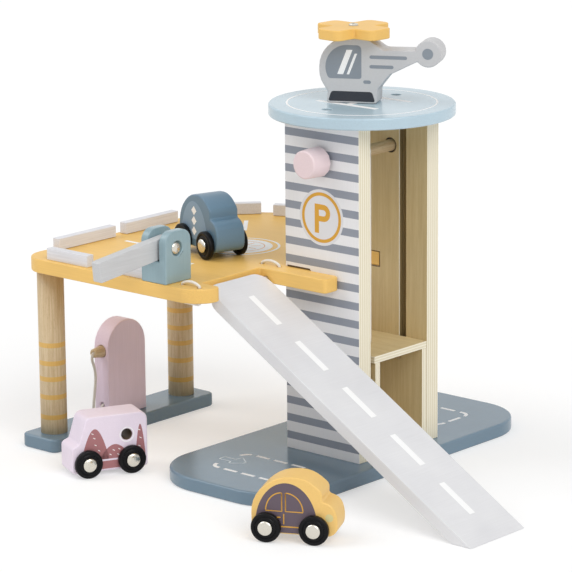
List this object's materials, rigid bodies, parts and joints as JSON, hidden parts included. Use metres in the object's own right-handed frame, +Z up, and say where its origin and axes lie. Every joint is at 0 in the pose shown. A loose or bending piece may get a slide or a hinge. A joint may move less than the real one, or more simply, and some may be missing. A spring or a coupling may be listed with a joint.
{
  "type": "toy parking garage",
  "caption": "Wooden toy parking garage: a tower with a hand-wound lift and a landing disc, a parking deck with a ramp, barrier and fuel pump, and toy vehicles with turning wheels.",
  "frame": {"origin": "on the floor, on the base plate's underside, below the middle of the tower", "axes": "+Z up, +X towards the foot of the ramp, -Y towards the side with the knob, the ramp and the barrier"},
  "size_m": [0.4727, 0.4023, 0.3715],
  "materials": {
    "deck_paint": "painted, satin",
    "base_paint": "painted, satin",
    "disc_paint": "painted, satin",
    "block_paint": "painted, satin",
    "white_paint": "painted, satin",
    "plywood": "clear lacquer, printed outer face",
    "beech": "sanded, clear lacquer",
    "pink_paint": "painted, satin",
    "knob_paint": "painted, satin",
    "van_paint": "painted, printed",
    "yellow_paint": "painted, printed",
    "blue_paint": "painted, printed",
    "grey_paint": "painted, printed",
    "wheel_paint": "gloss black paint",
    "nickel": "nickel plated",
    "cotton": "braided white cord"
  },
  "bodies": {
    "garage": {"base_plate": "base_paint", "tower_wall_front": "plywood", "tower_wall_rear": "plywood", "top_disc": "disc_paint", "disc_screw_front": "nickel", "disc_screw_rear": "nickel", "parking_deck": "deck_paint", "curb_front": "white_paint", "curb_gate": "white_paint", "curb_left": "white_paint", "curb_middle": "white_paint", "curb_corner": "white_paint", "curb_back": "white_paint", "post_front": "beech", "post_rear": "beech", "foot_bar": "base_paint", "barrier_block": "block_paint", "barrier_pin": "nickel", "fuel_pump": "pink_paint", "ramp_loop_front": "cotton", "ramp_loop_rear": "cotton"},
    "lift_drive": {"lift_knob": "knob_paint", "lift_shaft": "beech", "lift_winding": "cotton"},
    "lift_cabin": {"lift_cord": "cotton", "lift_roof": "plywood", "lift_floor": "plywood", "lift_panel_front": "plywood", "lift_panel_rear": "plywood", "guide_peg_front": "beech", "guide_peg_rear": "beech"},
    "barrier": {"barrier_arm": "white_paint"},
    "ramp_board": {"ramp": "white_paint", "ramp_dowel": "beech"},
    "nozzle": {"pump_nozzle": "beech", "pump_hose": "cotton"},
    "helicopter": {"heli_body": "grey_paint", "heli_rotor_screw": "nickel"},
    "rotor": {"heli_rotor": "yellow_paint"},
    "yellow_car": {"yellow_car_body": "yellow_paint"},
    "yellow_car_front_wheels": {"yellow_car_axle_front": "nickel", "yellow_car_wheel_front_left": "wheel_paint", "yellow_car_wheel_front_right": "wheel_paint"},
    "yellow_car_rear_wheels": {"yellow_car_axle_rear": "nickel", "yellow_car_wheel_rear_left": "wheel_paint", "yellow_car_wheel_rear_right": "wheel_paint"},
    "blue_car": {"blue_car_body": "blue_paint"},
    "blue_car_front_wheels": {"blue_car_axle_front": "nickel", "blue_car_wheel_front_left": "wheel_paint", "blue_car_wheel_front_right": "wheel_paint"},
    "blue_car_rear_wheels": {"blue_car_axle_rear": "nickel", "blue_car_wheel_rear_left": "wheel_paint", "blue_car_wheel_rear_right": "wheel_paint"},
    "van": {"van_body": "van_paint"},
    "van_front_wheels": {"van_axle_front": "nickel", "van_wheel_front_left": "wheel_paint", "van_wheel_front_right": "wheel_paint"},
    "van_rear_wheels": {"van_axle_rear": "nickel", "van_wheel_rear_left": "wheel_paint", "van_wheel_rear_right": "wheel_paint"}
  },
  "joints": [
    {"name": "knob_turn", "type": "hinge", "parent": "garage", "child": "lift_drive", "pos_m": [0, 0, 0.264], "axis": [0, -1, 0], "range_deg": [0, 1395]},
    {"name": "lift_slide", "type": "slide", "parent": "garage", "child": "lift_cabin", "axis": [0, 0, 1], "range_m": [0, 0.151], "deforming": ["lift_cord"]},
    {"name": "barrier_swing", "type": "hinge", "parent": "garage", "child": "barrier", "pos_m": [-0.084, -0.1523, 0.198], "axis": [-1, 0, 0], "range_deg": [0, 187.5]},
    {"name": "ramp_lift", "type": "hinge", "parent": "garage", "child": "ramp_board", "pos_m": [-0.0468, -0.1053, 0.1603], "axis": [0, -1, 0], "range_deg": [0, 25]},
    {"name": "nozzle_pull", "type": "slide", "parent": "garage", "child": "nozzle", "axis": [0, -1, 0], "range_m": [0, 0.016]},
    {"name": "helicopter_lift", "type": "slide", "parent": "garage", "child": "helicopter", "axis": [0, 0, 1], "range_m": [0, 0.12]},
    {"name": "rotor_turn", "type": "hinge", "parent": "helicopter", "child": "rotor", "pos_m": [-0.00706, -0.00221, 0.365], "axis": [0, 0, 1], "continuous": true},
    {"name": "yellow_car_roll", "type": "slide", "parent": "garage", "child": "yellow_car", "axis": [0.8894, 0.4571, 0], "range_m": [-0.1, 0.05]},
    {"name": "yellow_car_front_wheels_turn", "type": "hinge", "parent": "yellow_car", "child": "yellow_car_front_wheels", "pos_m": [0.11952, -0.1958, 0.012], "axis": [-0.4571, 0.8894, 0], "continuous": true},
    {"name": "yellow_car_rear_wheels_turn", "type": "hinge", "parent": "yellow_car", "child": "yellow_car_rear_wheels", "pos_m": [0.08528, -0.2134, 0.012], "axis": [-0.4571, 0.8894, 0], "continuous": true},
    {"name": "blue_car_roll", "type": "slide", "parent": "garage", "child": "blue_car", "axis": [0.9558, -0.294, 0], "range_m": [-0.06, 0]},
    {"name": "blue_car_front_wheels_turn", "type": "hinge", "parent": "blue_car", "child": "blue_car_front_wheels", "pos_m": [-0.1032, -0.06166, 0.1818], "axis": [0.294, 0.9558, 0], "continuous": true},
    {"name": "blue_car_rear_wheels_turn", "type": "hinge", "parent": "blue_car", "child": "blue_car_rear_wheels", "pos_m": [-0.14, -0.05034, 0.1818], "axis": [0.294, 0.9558, 0], "continuous": true},
    {"name": "van_roll", "type": "slide", "parent": "garage", "child": "van", "axis": [-0.4305, -0.9026, 0], "range_m": [0, 0.15]},
    {"name": "van_front_wheels_turn", "type": "hinge", "parent": "van", "child": "van_front_wheels", "pos_m": [-0.14749, -0.18987, 0.012], "axis": [0.9026, -0.4305, 0], "continuous": true},
    {"name": "van_rear_wheels_turn", "type": "hinge", "parent": "van", "child": "van_rear_wheels", "pos_m": [-0.13091, -0.15513, 0.012], "axis": [0.9026, -0.4305, 0], "continuous": true}
  ],
  "couplings": [
    {"joint": "lift_slide", "follows": "knob_turn", "m_per_rad": 0.0062},
    {"joint": "yellow_car_front_wheels_turn", "follows": "yellow_car_roll", "rad_per_m": 83.333},
    {"joint": "yellow_car_rear_wheels_turn", "follows": "yellow_car_roll", "rad_per_m": 83.333},
    {"joint": "blue_car_front_wheels_turn", "follows": "blue_car_roll", "rad_per_m": 83.333},
    {"joint": "blue_car_rear_wheels_turn", "follows": "blue_car_roll", "rad_per_m": 83.333},
    {"joint": "van_front_wheels_turn", "follows": "van_roll", "rad_per_m": 83.333},
    {"joint": "van_rear_wheels_turn", "follows": "van_roll", "rad_per_m": 83.333}
  ]
}
